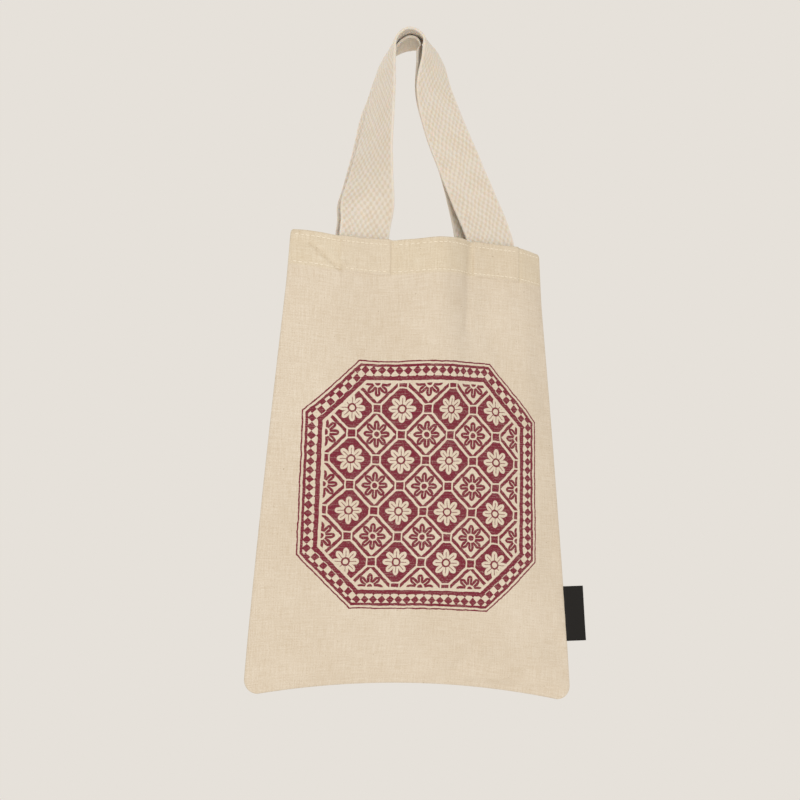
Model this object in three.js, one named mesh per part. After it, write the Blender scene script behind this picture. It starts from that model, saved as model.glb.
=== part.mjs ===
import * as THREE from "three";

// A small cotton tote bag hanging from one point, in millimetres.
// The origin is the seat under the bend of the inner strap, +Z is up and the front panel faces -Y.

// Cloth bag
const BAG_HEIGHT = 256;
const MOUTH_Z = -116.5;
const CLOTH_WALL = 1.0;
const SEAM_EDGE = 0.7;
const SEAM_GAP = 0.3;
const HEM_DEPTH = 20;
const HEM_FOLD = 1.0;
const HEM_STEP = 0.8;
const CORNER_RADIUS = 8;
const SEAM_RISE = 0.6;
const BOTTOM_ARCH = 7.5;
const MOUTH_REACH = 150;

// How the hanging bag sits under the seat
const MOUTH_OFFSET = 5.6;
const FOOT_OFFSET = 0.5;
const FOOT_TILT = THREE.MathUtils.degToRad(1.5);
const HANG_TWIST = THREE.MathUtils.degToRad(-9);
const TWIST_START = 30;

// Webbing straps
const WEBBING_WIDTH = 30;
const WEBBING_THICK = 1.6;
const WEBBING_BEVEL = 0.3;
const STRAP_NEST = 2.3;

// Folded label in the right side seam
const LABEL_REACH = 12;
const LABEL_HEIGHT = 31;
const LABEL_DROP = 193;
const LABEL_LEAF = 0.5;
const LABEL_FOLD_GAP = 0.3;
const LABEL_GAP = 0.45;

// Mesh density
const CLOTH_COLUMNS = 38;
const CLOTH_BODY_ROWS = 17;
const CLOTH_CORNER_ROWS = 6;
const STRAP_SECTIONS = 72;
const FOLD_STEPS = 6;

// Bag sections from the mouth (level 0) to the foot (level 1).
// half_width: side seam from the middle, front and back: how far each panel bellies out.
const SECTIONS = [
  { level: 0.0, half_width: 78.5, front: 14, back: 8 },
  { level: 0.12, half_width: 80.5, front: 14, back: 8 },
  { level: 0.35, half_width: 84.8, front: 13, back: 8 },
  { level: 0.6, half_width: 89.0, front: 12, back: 8 },
  { level: 0.82, half_width: 92.4, front: 9, back: 6 },
  { level: 0.94, half_width: 94.0, front: 4.5, back: 3.5 },
  { level: 1.0, half_width: 94.6, front: 0, back: 0 },
];

// The mouth's edge from the left seam (station -1) to the right seam (station 1).
// front and back: how far each panel stands out there, lift: how far the edge stands above its level.
const MOUTH = [
  { station: -1.0, front: 0, back: 0, lift: 1.0 },
  { station: -0.82, front: 5.0, back: 5.4, lift: -0.6 },
  { station: -0.66, front: 7.8, back: 8.4, lift: -2.2 },
  { station: -0.28, front: 8.8, back: 8.8, lift: -2.6 },
  { station: 0.05, front: 22.0, back: 15.0, lift: -0.8 },
  { station: 0.39, front: 9.6, back: 9.0, lift: 0.3 },
  { station: 0.77, front: 8.2, back: 8.4, lift: -0.6 },
  { station: 0.88, front: 5.0, back: 5.2, lift: -1.0 },
  { station: 1.0, front: 0, back: 0, lift: -1.4 },
];

// The outer strap's middle line from its left end over the seat to its right end.
// turn: where the strap's inner edge points, from straight ahead towards the left.
// back_x and back_y: how far the inner strap's middle line lies from the outer strap's.
const STRAP_PATH = [
  { x: -31.3, y: -5.15, z: -136, turn: -88.5, back_x: 2.8, back_y: 10.9 },
  { x: -31.1, y: -5.15, z: -119.5, turn: -88.5, back_x: 2.8, back_y: 10.9 },
  { x: -29.6, y: -5.2, z: -107.5, turn: -84, back_x: 2.8, back_y: 11.1 },
  { x: -27.4, y: -4.6, z: -90, turn: -42, back_x: 2.6, back_y: 11.6 },
  { x: -24.2, y: -3.0, z: -70.5, turn: -20, back_x: 2.2, back_y: 12 },
  { x: -20.2, y: -1.0, z: -51, turn: -9, back_x: 1.6, back_y: 12 },
  { x: -16.3, y: 1.5, z: -31.5, turn: -1, back_x: 0.8, back_y: 12 },
  { x: -12.0, y: 4.6, z: -12, turn: 9, back_x: 0.2, back_y: 12 },
  { x: -7.5, y: 3.4, z: -1.5, turn: 20, back_x: 0, back_y: 11.5 },
  { x: 0.6, y: -0.8, z: 3.1, turn: 29, back_x: 0, back_y: 11 },
  { x: 8.96, y: -5.0, z: -1.5, turn: 38, back_x: 0.4, back_y: 10.5 },
  { x: 11.7, y: -6.6, z: -12, turn: 50.5, back_x: 1.8, back_y: 10.5 },
  { x: 12.75, y: -6.8, z: -31.5, turn: 71, back_x: 5.0, back_y: 10.5 },
  { x: 19.35, y: -6.5, z: -51, turn: 80.5, back_x: 6.6, back_y: 10.5 },
  { x: 28.4, y: -6.2, z: -70.5, turn: 84, back_x: 6.6, back_y: 10.8 },
  { x: 37.7, y: -6.0, z: -90, turn: 85.5, back_x: 3.4, back_y: 11 },
  { x: 46.3, y: -5.6, z: -107.5, turn: 86.5, back_x: -1.4, back_y: 11.1 },
  { x: 49.8, y: -5.55, z: -119.5, turn: 88, back_x: -4.3, back_y: 11.1 },
  { x: 50.2, y: -5.55, z: -136, turn: 88, back_x: -4.5, back_y: 11.1 },
];

const cotton = new THREE.MeshStandardMaterial({ name: "undyed_cotton", color: "#dccdb2", roughness: 0.95 });
const webbing = new THREE.MeshStandardMaterial({ name: "cotton_webbing", color: "#ddd1be", roughness: 0.95 });
const ribbon = new THREE.MeshStandardMaterial({ name: "black_ribbon", color: "#1f1d1c", roughness: 0.8 });

function smooth(value) {
  const t = THREE.MathUtils.clamp(value, 0, 1);
  return t * t * (3 - 2 * t);
}

// Reads one column of a table between its rows, with a curve that keeps the rows' own slopes.
function readColumn(rows, place, column, at) {
  const last = rows.length - 1;
  let i = 0;
  while (i < last - 1 && at > rows[i + 1][place]) i += 1;
  const slope = (k) => {
    const a = rows[Math.max(k - 1, 0)];
    const b = rows[Math.min(k + 1, last)];
    return (b[column] - a[column]) / (b[place] - a[place]);
  };
  const span = rows[i + 1][place] - rows[i][place];
  const t = THREE.MathUtils.clamp((at - rows[i][place]) / span, 0, 1);
  const rise = rows[i + 1][column] - rows[i][column];
  const bend = t * (1 - t) * ((1 - t) * (slope(i) * span - rise) + t * (rise - slope(i + 1) * span));
  return rows[i][column] + rise * t + bend;
}

// The side seam's distance from the middle, drawn in round the foot's corners.
function halfWidth(drop) {
  const round = THREE.MathUtils.clamp((drop - BAG_HEIGHT + CORNER_RADIUS) / CORNER_RADIUS, 0, 1);
  const drawnIn = CORNER_RADIUS * (1 - Math.sqrt(1 - round * round));
  return readColumn(SECTIONS, "level", "half_width", drop / BAG_HEIGHT) - drawnIn;
}

// How far a panel's outside stands off the seam plane: the mouth's folds fade into the belly below.
function standOff(side, station, drop) {
  const seamRise = Math.sin((Math.PI / 2) * Math.min(1, (1 - Math.abs(station)) / SEAM_RISE));
  const belly = readColumn(SECTIONS, "level", side, drop / BAG_HEIGHT) * seamRise;
  const mouth = readColumn(MOUTH, "station", side, station);
  return SEAM_GAP / 2 + SEAM_EDGE + THREE.MathUtils.lerp(mouth, belly, smooth(drop / MOUTH_REACH));
}

// A point on a panel's outside before the bag twists, with y measured outwards from the seam plane.
function clothPoint(side, station, drop) {
  const share = drop / BAG_HEIGHT;
  const lift = readColumn(MOUTH, "station", "lift", station) * (1 - smooth(share));
  const arch = BOTTOM_ARCH * (1 - station * station) * Math.pow(share, 4);
  const x = station * halfWidth(drop);
  return new THREE.Vector3(x, standOff(side, station, drop), MOUTH_Z - drop + lift + arch);
}

function clothNormal(side, station, drop) {
  const d = 0.01;
  const low = Math.max(drop - 0.5, 0);
  const high = Math.min(drop + 0.5, BAG_HEIGHT);
  const left = clothPoint(side, Math.max(station - d, -1), drop);
  const across = clothPoint(side, Math.min(station + d, 1), drop).sub(left);
  const down = clothPoint(side, station, high).sub(clothPoint(side, station, low));
  const normal = new THREE.Vector3().crossVectors(down, across).normalize();
  return normal.y < 0 ? normal.negate() : normal;
}

// Moves a point of the straight bag to where the hanging bag has it.
function hang(point, drop) {
  const turn = HANG_TWIST * Math.max(0, (drop - TWIST_START) / (BAG_HEIGHT - TWIST_START));
  const middle = THREE.MathUtils.lerp(MOUTH_OFFSET, FOOT_OFFSET, drop / BAG_HEIGHT);
  const x = point.x * Math.cos(turn) - point.y * Math.sin(turn);
  const y = point.x * Math.sin(turn) + point.y * Math.cos(turn);
  const tilt = Math.tan(FOOT_TILT) * point.x * (drop / BAG_HEIGHT);
  return new THREE.Vector3(x + middle, y, point.z - tilt);
}

function clothRows() {
  const rows = [0, HEM_DEPTH / 2, HEM_DEPTH, HEM_DEPTH + HEM_STEP];
  const first = HEM_DEPTH + HEM_STEP;
  const cornerTop = BAG_HEIGHT - CORNER_RADIUS;
  for (let i = 1; i <= CLOTH_BODY_ROWS; i += 1) {
    rows.push(THREE.MathUtils.lerp(first, cornerTop, i / CLOTH_BODY_ROWS));
  }
  for (let i = 1; i <= CLOTH_CORNER_ROWS; i += 1) {
    rows.push(cornerTop + CORNER_RADIUS * Math.sin((Math.PI / 2) * (i / CLOTH_CORNER_ROWS)));
  }
  return rows;
}

// Joins rings of points into one skin, with each ring closed on itself.
function skinRings(rings) {
  const size = rings[0].length;
  const points = rings.flat();
  const faces = [];
  for (let r = 0; r < rings.length - 1; r += 1) {
    for (let i = 0; i < size; i += 1) {
      const j = (i + 1) % size;
      const a = r * size + i;
      const b = r * size + j;
      faces.push([a, b + size, b], [a, a + size, b + size]);
    }
  }
  return { points, faces, size };
}

function toGeometry(points, faces) {
  const geometry = new THREE.BufferGeometry();
  geometry.setAttribute("position", new THREE.Float32BufferAttribute(points.flatMap((p) => p.toArray()), 3));
  geometry.setIndex(faces.flat());
  geometry.computeVertexNormals();
  return geometry;
}

// One panel: its outside and inside sheets, joined round the mouth, the side seams and the foot.
function clothPanel(side) {
  const outward = side === "front" ? -1 : 1;
  const rows = clothRows();
  const columns = CLOTH_COLUMNS + 1;
  const outside = [];
  const inside = [];
  for (const drop of rows) {
    const wall = CLOTH_WALL + (drop <= HEM_DEPTH ? HEM_FOLD : 0);
    for (let c = 0; c < columns; c += 1) {
      const station = -1 + (2 * c) / CLOTH_COLUMNS;
      const outer = clothPoint(side, station, drop);
      const inner = outer.clone().addScaledVector(clothNormal(side, station, drop), -wall);
      inner.y = Math.max(inner.y, SEAM_GAP / 2);
      inner.z = drop === 0 ? outer.z : Math.max(inner.z, outer.z);
      outer.y *= outward;
      inner.y *= outward;
      outside.push(hang(outer, drop));
      inside.push(hang(inner, drop));
    }
  }
  const shift = outside.length;
  const faces = [];
  const quad = (a, b, c, d) => {
    faces.push(outward < 0 ? [a, b, c] : [a, c, b], outward < 0 ? [a, c, d] : [a, d, c]);
  };
  for (let r = 0; r < rows.length - 1; r += 1) {
    for (let c = 0; c < CLOTH_COLUMNS; c += 1) {
      const a = r * columns + c;
      const b = a + columns;
      quad(a, b, b + 1, a + 1);
      quad(a + shift, a + 1 + shift, b + 1 + shift, b + shift);
    }
    const left = r * columns;
    const right = left + CLOTH_COLUMNS;
    quad(left, left + shift, left + columns + shift, left + columns);
    quad(right, right + columns, right + columns + shift, right + shift);
  }
  const foot = (rows.length - 1) * columns;
  for (let c = 0; c < CLOTH_COLUMNS; c += 1) {
    quad(c, c + 1, c + 1 + shift, c + shift);
    quad(foot + c, foot + c + shift, foot + c + 1 + shift, foot + c + 1);
  }
  return toGeometry([...outside, ...inside], faces);
}

// The strap's middle line and its own directions, part of the way along.
// across points to the strap's inner edge and face out of the side that is uppermost over the seat.
function strapFrame(curve, share, inner) {
  const last = STRAP_PATH.length - 1;
  const rows = STRAP_PATH.map((row, index) => ({ ...row, index }));
  const column = (name) => readColumn(rows, "index", name, share * last);
  const turn = THREE.MathUtils.degToRad(column("turn"));
  const along = curve.getTangent(share);
  const across = new THREE.Vector3(-Math.sin(turn), -Math.cos(turn), 0).projectOnPlane(along).normalize();
  const face = new THREE.Vector3().crossVectors(across, along).normalize();
  const middle = curve.getPoint(share);
  if (inner) {
    const shift = new THREE.Vector3(column("back_x"), column("back_y"), 0).projectOnPlane(along);
    const nest = Math.max(STRAP_NEST + shift.dot(face), 0);
    middle.add(shift).addScaledVector(face, -nest);
  }
  return { middle, across, face };
}

// Carries the webbing's section, with its four corners taken off, along the strap.
function strap(inner) {
  const curve = new THREE.CatmullRomCurve3(
    STRAP_PATH.map((row) => new THREE.Vector3(row.x, row.y, row.z)), false, "centripetal");
  const half = WEBBING_WIDTH / 2;
  const thick = WEBBING_THICK / 2;
  const section = [
    [half, thick - WEBBING_BEVEL], [half - WEBBING_BEVEL, thick], [WEBBING_BEVEL - half, thick],
    [-half, thick - WEBBING_BEVEL], [-half, WEBBING_BEVEL - thick], [WEBBING_BEVEL - half, -thick],
    [half - WEBBING_BEVEL, -thick], [half, WEBBING_BEVEL - thick],
  ];
  const rings = [];
  for (let s = 0; s <= STRAP_SECTIONS; s += 1) {
    const { middle, across, face } = strapFrame(curve, s / STRAP_SECTIONS, inner);
    rings.push(section.map(([w, t]) =>
      middle.clone().addScaledVector(across, w).addScaledVector(face, t)));
  }
  const { points, faces, size } = skinRings(rings);
  const end = points.length - size;
  for (let i = 1; i < size - 1; i += 1) {
    faces.push([0, i, i + 1], [end, end + i + 1, end + i]);
  }
  return toGeometry(points, faces);
}

// A ribbon folded at its outer edge, with its two leaves side by side against the seam.
function foldedLabel() {
  const outerRadius = LABEL_LEAF + LABEL_FOLD_GAP / 2;
  const innerRadius = LABEL_FOLD_GAP / 2;
  const foldAt = LABEL_REACH - outerRadius;
  const profile = [new THREE.Vector2(0, -outerRadius)];
  for (let i = 0; i <= FOLD_STEPS; i += 1) {
    const angle = -Math.PI / 2 + (Math.PI * i) / FOLD_STEPS;
    profile.push(new THREE.Vector2(foldAt + outerRadius * Math.cos(angle), outerRadius * Math.sin(angle)));
  }
  profile.push(new THREE.Vector2(0, outerRadius), new THREE.Vector2(0, innerRadius));
  for (let i = 0; i <= FOLD_STEPS; i += 1) {
    const angle = Math.PI / 2 - (Math.PI * i) / FOLD_STEPS;
    profile.push(new THREE.Vector2(foldAt + innerRadius * Math.cos(angle), innerRadius * Math.sin(angle)));
  }
  profile.push(new THREE.Vector2(0, -innerRadius));
  const geometry = new THREE.ExtrudeGeometry(new THREE.Shape(profile), {
    depth: LABEL_HEIGHT, bevelEnabled: false, steps: 1,
  });
  const seam = (drop) => hang(new THREE.Vector3(halfWidth(drop) + LABEL_GAP, 0, MOUTH_Z - drop), drop);
  const head = seam(LABEL_DROP);
  const foot = seam(LABEL_DROP + LABEL_HEIGHT);
  const middleDrop = LABEL_DROP + LABEL_HEIGHT / 2;
  geometry.translate(0, 0, -LABEL_HEIGHT / 2);
  geometry.rotateY(Math.atan2(head.x - foot.x, head.z - foot.z));
  geometry.rotateZ(HANG_TWIST * ((middleDrop - TWIST_START) / (BAG_HEIGHT - TWIST_START)));
  geometry.translate(...seam(middleDrop).toArray());
  return geometry;
}

function piece(name, geometry, material) {
  const mesh = new THREE.Mesh(geometry, material);
  mesh.name = name;
  return mesh;
}

const bag = new THREE.Group();
bag.name = "tote_bag";
bag.add(
  piece("front_panel", clothPanel("front"), cotton),
  piece("back_panel", clothPanel("back"), cotton),
  piece("front_handle", strap(false), webbing),
  piece("back_handle", strap(true), webbing),
  piece("side_label", foldedLabel(), ribbon),
);

export default bag;
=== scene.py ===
"""A small cotton tote bag that hangs by its two webbing handles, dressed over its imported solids.

Sizes are in millimetres until a mesh is written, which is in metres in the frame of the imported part.
"""

import logging
import math
from dataclasses import dataclass
from enum import Enum

import bmesh
import bpy
import numpy as np
from bmesh.types import BMesh
from bpy.types import Material, Node, NodeSocket, NodeTree, Object
from mathutils import Matrix, Vector


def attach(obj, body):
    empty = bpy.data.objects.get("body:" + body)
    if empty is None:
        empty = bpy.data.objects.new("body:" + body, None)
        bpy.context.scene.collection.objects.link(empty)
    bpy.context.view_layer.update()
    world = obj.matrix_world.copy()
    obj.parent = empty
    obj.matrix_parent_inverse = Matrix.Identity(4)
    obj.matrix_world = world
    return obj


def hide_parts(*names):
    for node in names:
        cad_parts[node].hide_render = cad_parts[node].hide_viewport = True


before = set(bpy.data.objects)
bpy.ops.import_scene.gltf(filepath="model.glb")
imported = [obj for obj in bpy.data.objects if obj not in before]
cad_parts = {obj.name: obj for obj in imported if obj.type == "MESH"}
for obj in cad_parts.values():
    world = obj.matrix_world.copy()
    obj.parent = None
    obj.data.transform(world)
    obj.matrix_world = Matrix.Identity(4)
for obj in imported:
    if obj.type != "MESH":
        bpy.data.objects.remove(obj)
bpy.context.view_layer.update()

MM = 0.001
FULL_TURN = 2.0 * math.pi
# How wide every piece's own map is, and the room above the mouth on a panel's map.
UV_SPAN = 400.0
HEM_ROOM = 40.0
# Levels nearer than SAME are one level, and points nearer than AT_SIDE to a sheet's side are on it.
SAME = 1e-6
AT_SIDE = 1e-4
# Keeps a division from failing.
TINY = 1e-12
# Where the two panels' random ripples start.
FRONT_SEED, BACK_SEED = 11, 29
# Turns a sphere's poles from Z to X, so that they are a stitch's two ends.
POLE_ALONG = Matrix.Rotation(math.pi / 2.0, 4, "Y")

# A step of a sum: a new name, a Math operation and its terms, each a known name or a number.
Step = tuple[str | float, ...]
# A noise: its name, its waves to a millimetre across and along, and its detail.
Noise = tuple[str, float, float, float]
Sockets = dict[str, NodeSocket]
Colour = tuple[float, float, float, float]
Array = np.ndarray

log = logging.getLogger("tote_bag")


class Side(Enum):
    """Which cloth panel, as the sign of the Y that it stands off to."""

    FRONT = -1.0
    BACK = 1.0


class Face(Enum):
    """Which material slot a sheet's face takes."""

    OUTSIDE = 0
    INSIDE = 1


def smooth(value: Array) -> Array:
    """Eases a value, held between 0 and 1, from 0 to 1."""
    t = np.clip(value, 0.0, 1.0)
    return t * t * (3.0 - 2.0 * t)


def unit(vectors: Array) -> Array:
    """Gives vectors a length of 1."""
    return vectors / np.maximum(np.linalg.norm(vectors, axis=-1, keepdims=True), TINY)


def square_to(vectors: Array, along: Array) -> Array:
    """Leaves only the part of vectors that is square to unit vectors."""
    return vectors - along * (vectors * along).sum(-1, keepdims=True)


class Table:
    """Rows of named columns, read between the rows along a smooth curve."""

    def __init__(self, columns: tuple[str, ...], rows: list[tuple[float, ...]]) -> None:
        """Keeps the columns by name, the first of which gives each row's place."""
        self.values = {name: np.array(column, float) for name, column in zip(columns, zip(*rows))}
        self.place = self.values[columns[0]]

    def read(self, column: str, at: Array) -> Array:
        """Reads one column.

        Args:
            column: the column's name.
            at: the places to read it at.

        Returns:
            The column's value at each place.
        """
        place, value = self.place, self.values[column]
        low = np.maximum(np.arange(len(place)) - 1, 0)
        high = np.minimum(np.arange(len(place)) + 1, len(place) - 1)
        slope = (value[high] - value[low]) / (place[high] - place[low])
        i = np.clip(np.searchsorted(place, at) - 1, 0, len(place) - 2)
        span = place[i + 1] - place[i]
        t = np.clip((at - place[i]) / span, 0.0, 1.0)
        rise = value[i + 1] - value[i]
        bend = (1.0 - t) * (slope[i] * span - rise) + t * (rise - slope[i + 1] * span)
        return value[i] + rise * t + t * (1.0 - t) * bend


# Bag sections from the mouth to the foot: the side seam from the middle, and how far each panel bellies out.
SECTIONS = Table(
    ("level", "half_width", "front", "back"),
    [
        (0.0, 78.5, 14.0, 8.0),
        (0.12, 80.5, 14.0, 8.0),
        (0.35, 84.8, 13.0, 8.0),
        (0.6, 89.0, 12.0, 8.0),
        (0.82, 92.4, 9.0, 6.0),
        (0.94, 94.0, 4.5, 3.5),
        (1.0, 94.6, 0.0, 0.0),
    ],
)

# The mouth's edge from the left seam to the right: how far each panel stands out, and the edge's lift.
MOUTH = Table(
    ("station", "front", "back", "lift"),
    [
        (-1.0, 0.0, 0.0, 1.0),
        (-0.82, 5.0, 5.4, -0.6),
        (-0.66, 7.8, 8.4, -2.2),
        (-0.28, 8.8, 8.8, -2.6),
        (0.05, 22.0, 15.0, -0.8),
        (0.39, 9.6, 9.0, 0.3),
        (0.77, 8.2, 8.4, -0.6),
        (0.88, 5.0, 5.2, -1.0),
        (1.0, 0.0, 0.0, -1.4),
    ],
)

# The outer strap's middle line from its left end over the seat to its right end. turn is where its inner edge
# points, from straight ahead towards the left, and back_x and back_y lead to the inner strap's middle line.
STRAP_PATH = Table(
    ("index", "x", "y", "z", "turn", "back_x", "back_y"),
    [
        (0, -31.3, -5.15, -136.0, -88.5, 2.8, 10.9),
        (1, -31.1, -5.15, -119.5, -88.5, 2.8, 10.9),
        (2, -29.6, -5.2, -107.5, -84.0, 2.8, 11.1),
        (3, -27.4, -4.6, -90.0, -42.0, 2.6, 11.6),
        (4, -24.2, -3.0, -70.5, -20.0, 2.2, 12.0),
        (5, -20.2, -1.0, -51.0, -9.0, 1.6, 12.0),
        (6, -16.3, 1.5, -31.5, -1.0, 0.8, 12.0),
        (7, -12.0, 4.6, -12.0, 9.0, 0.2, 12.0),
        (8, -7.5, 3.4, -1.5, 20.0, 0.0, 11.5),
        (9, 0.6, -0.8, 3.1, 29.0, 0.0, 11.0),
        (10, 8.96, -5.0, -1.5, 38.0, 0.4, 10.5),
        (11, 11.7, -6.6, -12.0, 50.5, 1.8, 10.5),
        (12, 12.75, -6.8, -31.5, 71.0, 5.0, 10.5),
        (13, 19.35, -6.5, -51.0, 80.5, 6.6, 10.5),
        (14, 28.4, -6.2, -70.5, 84.0, 6.6, 10.8),
        (15, 37.7, -6.0, -90.0, 85.5, 3.4, 11.0),
        (16, 46.3, -5.6, -107.5, 86.5, -1.4, 11.1),
        (17, 49.8, -5.55, -119.5, 88.0, -4.3, 11.1),
        (18, 50.2, -5.55, -136.0, 88.0, -4.5, 11.1),
    ],
)


@dataclass(frozen=True)
class Fold:
    """A soft ridge, or a crease where its height is below 0, between two places on a panel.

    x is measured from the panel's middle and drop down from the mouth.
    """

    x_start: float
    drop_start: float
    x_end: float
    drop_end: float
    width: float
    height: float

    def lift(self, x: Array, drop: Array) -> Array:
        """Works out how far the fold lifts the cloth.

        Args:
            x: places across the panel.
            drop: places down the panel.

        Returns:
            The lift at each place.
        """
        run = np.array([self.x_end - self.x_start, self.drop_end - self.drop_start])
        share = ((x - self.x_start) * run[0] + (drop - self.drop_start) * run[1]) / float(run @ run)
        near = np.clip(share, 0.0, 1.0)
        gap_x = x - self.x_start - near * run[0]
        gap_drop = drop - self.drop_start - near * run[1]
        return self.height * np.exp(-(gap_x**2 + gap_drop**2) / self.width**2)


# Each row: x_start, drop_start, x_end, drop_end, width, height.
FRONT_FOLDS = (
    Fold(-69.0, 7.5, -52.5, 20.0, 0.9, -0.7),
    Fold(-66.6, 5.0, -50.5, 16.6, 2.0, 0.5),
    Fold(-51.8, 18.0, -51.0, 21.5, 1.4, -0.5),
    Fold(-20.2, 1.0, -19.4, 46.0, 2.4, -0.6),
    Fold(-13.0, 4.0, -12.0, 60.0, 6.0, 0.4),
    Fold(27.4, 1.0, 26.0, 50.0, 2.8, -0.9),
    Fold(26.0, 46.0, 22.0, 96.0, 6.0, -0.5),
    Fold(19.0, 5.0, 13.0, 80.0, 7.0, 0.5),
    Fold(34.0, 26.0, 56.0, 110.0, 8.0, -0.45),
    Fold(46.0, 22.0, 74.0, 92.0, 8.0, 0.4),
    Fold(-56.0, 22.0, -66.0, 80.0, 8.0, 0.35),
    Fold(-45.0, 24.0, -46.0, 90.0, 8.0, -0.35),
    Fold(25.0, 248.0, 37.0, 233.0, 4.5, -1.7),
    Fold(32.0, 250.0, 42.0, 238.0, 3.4, 1.0),
    Fold(50.0, 244.0, 72.0, 237.0, 13.0, 2.0),
    Fold(8.0, 249.0, 20.0, 236.0, 5.0, 0.4),
    Fold(-4.0, 246.0, 10.0, 224.0, 6.0, -0.45),
    Fold(60.0, 250.0, 84.0, 226.0, 5.0, -0.4),
    Fold(-40.0, 244.0, -8.0, 236.0, 7.0, -0.4),
    Fold(-80.0, 238.0, -58.0, 226.0, 6.0, 0.35),
    Fold(-84.0, 196.0, -70.0, 232.0, 6.0, -0.35),
)

BACK_FOLDS = (
    Fold(-21.0, 1.0, -20.0, 46.0, 2.8, -0.7),
    Fold(27.0, 1.0, 26.0, 52.0, 2.8, -0.8),
    Fold(-48.0, 24.0, -58.0, 100.0, 8.0, 0.5),
    Fold(-34.0, 26.0, -36.0, 104.0, 8.0, -0.5),
    Fold(44.0, 26.0, 58.0, 112.0, 8.0, 0.45),
    Fold(10.0, 30.0, 4.0, 130.0, 10.0, 0.45),
    Fold(-30.0, 248.0, -12.0, 224.0, 5.0, -0.6),
    Fold(-16.0, 250.0, 8.0, 230.0, 5.0, 0.5),
    Fold(48.0, 250.0, 72.0, 222.0, 6.0, -0.6),
    Fold(-78.0, 240.0, -56.0, 214.0, 6.0, -0.45),
    Fold(62.0, 16.0, 72.0, 6.0, 1.6, -0.3),
)


def gathers(along: Array, sizes: tuple[float, ...], start: float = 0.0) -> Array:
    """Gives a seam's small gathers, from their height and pitch and how far and how slowly that wanders."""
    height, pitch, wander, slow = sizes
    return height * np.sin(FULL_TURN * along / pitch + wander * np.sin(along / slow + start))


@dataclass(frozen=True)
class BagShape:
    """The hanging bag's outside: a flat cloth bag drawn in at the mouth, leaning and twisting as it hangs."""

    height: float = 256.0
    mouth_z: float = -116.5
    seam_edge: float = 0.85
    edge_round: float = 1.6
    corner_radius: float = 8.0
    mouth_corner: float = 2.8
    seam_rise: float = 0.6
    bottom_arch: float = 7.5
    mouth_reach: float = 150.0
    mouth_offset: float = 5.6
    foot_offset: float = 0.5
    foot_tilt_deg: float = 1.5
    hang_twist_deg: float = -9.0
    twist_start: float = 30.0

    def half_width(self, drop: Array | float) -> Array | float:
        """Gives the side seam's distance from the middle.

        Args:
            drop: places down the bag.

        Returns:
            The distance at each place, drawn in round the corners of the foot and the mouth.
        """
        drawn_in = np.zeros_like(drop)
        for radius, gap in ((self.corner_radius, self.height - drop), (self.mouth_corner, drop)):
            turn = np.clip(1.0 - gap / radius, 0.0, 1.0)
            drawn_in = drawn_in + radius * (1.0 - np.sqrt(1.0 - turn * turn))
        return SECTIONS.read("half_width", drop / self.height) - drawn_in

    def edge_gap(self, station: Array, drop: Array) -> Array:
        """Gives the distance to the nearest seam from stations of -1 to 1 across and drops down the bag."""
        return np.minimum((1.0 - np.abs(station)) * self.half_width(drop), self.height - drop)

    def straight(self, side: Side, station: Array, drop: Array) -> Array:
        """Gives points of a panel's outside, rolled in to the seams, before the bag leans and twists.

        Args:
            side: the panel.
            station: places across the bag.
            drop: places down the bag.

        Returns:
            Points whose y is measured outwards from the seam plane.
        """
        share = drop / self.height
        column = side.name.lower()
        rise = np.sin(math.pi / 2.0 * np.minimum(1.0, (1.0 - np.abs(station)) / self.seam_rise))
        belly = SECTIONS.read(column, share) * rise
        mouth = MOUTH.read(column, station)
        flat = self.seam_edge + mouth + (belly - mouth) * smooth(drop / self.mouth_reach)
        roll = 1.0 - np.clip(self.edge_gap(station, drop) / self.edge_round, 0.0, 1.0)
        y = flat * np.sqrt(np.maximum(1.0 - roll * roll, 0.0))
        lift = MOUTH.read("lift", station) * (1.0 - smooth(share))
        arch = self.bottom_arch * (1.0 - station * station) * share**4
        return np.stack([station * self.half_width(drop), y, self.mouth_z - drop + lift + arch], axis=1)

    def outward(self, side: Side, station: Array, drop: Array) -> Array:
        """Gives the direction out of a panel before the bag leans and twists.

        Args:
            side: the panel.
            station: places across the bag.
            drop: places down the bag.

        Returns:
            Unit vectors.
        """
        step_station, step_drop = 0.0006, 0.05
        left = self.straight(side, np.maximum(station - step_station, -1.0), drop)
        right = self.straight(side, np.minimum(station + step_station, 1.0), drop)
        above = self.straight(side, station, np.maximum(drop - step_drop, 0.0))
        below = self.straight(side, station, np.minimum(drop + step_drop, self.height))
        normal = unit(np.cross(below - above, right - left))
        return np.where(normal[:, 1:2] < 0.0, -normal, normal)

    def twist(self, drop: Array | float) -> Array | float:
        """Gives the angle by which the hanging bag has turned at places down it."""
        below = np.maximum(0.0, (drop - self.twist_start) / (self.height - self.twist_start))
        return math.radians(self.hang_twist_deg) * below

    def hung(self, points: Array, drop: Array) -> Array:
        """Moves points of the straight bag to where the hanging bag has them.

        Args:
            points: the points.
            drop: each point's place down the bag.

        Returns:
            The moved points.
        """
        share = drop / self.height
        turn = self.twist(drop)
        cos, sin = np.cos(turn), np.sin(turn)
        x, y, z = points.T
        middle = self.mouth_offset + (self.foot_offset - self.mouth_offset) * share
        tilt = math.tan(math.radians(self.foot_tilt_deg)) * x * share
        return np.stack([x * cos - y * sin + middle, x * sin + y * cos, z - tilt], axis=1)


def linear(hex_colour: str) -> Colour:
    """Turns an sRGB colour to linear light.

    Args:
        hex_colour: the colour as six hex digits after a hash.

    Returns:
        Red, green, blue and an alpha of 1.
    """
    parts = [int(hex_colour[i : i + 2], 16) / 255.0 for i in (1, 3, 5)]
    light = [p / 12.92 if p <= 0.04045 else ((p + 0.055) / 1.055) ** 2.4 for p in parts]
    return (light[0], light[1], light[2], 1.0)


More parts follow.
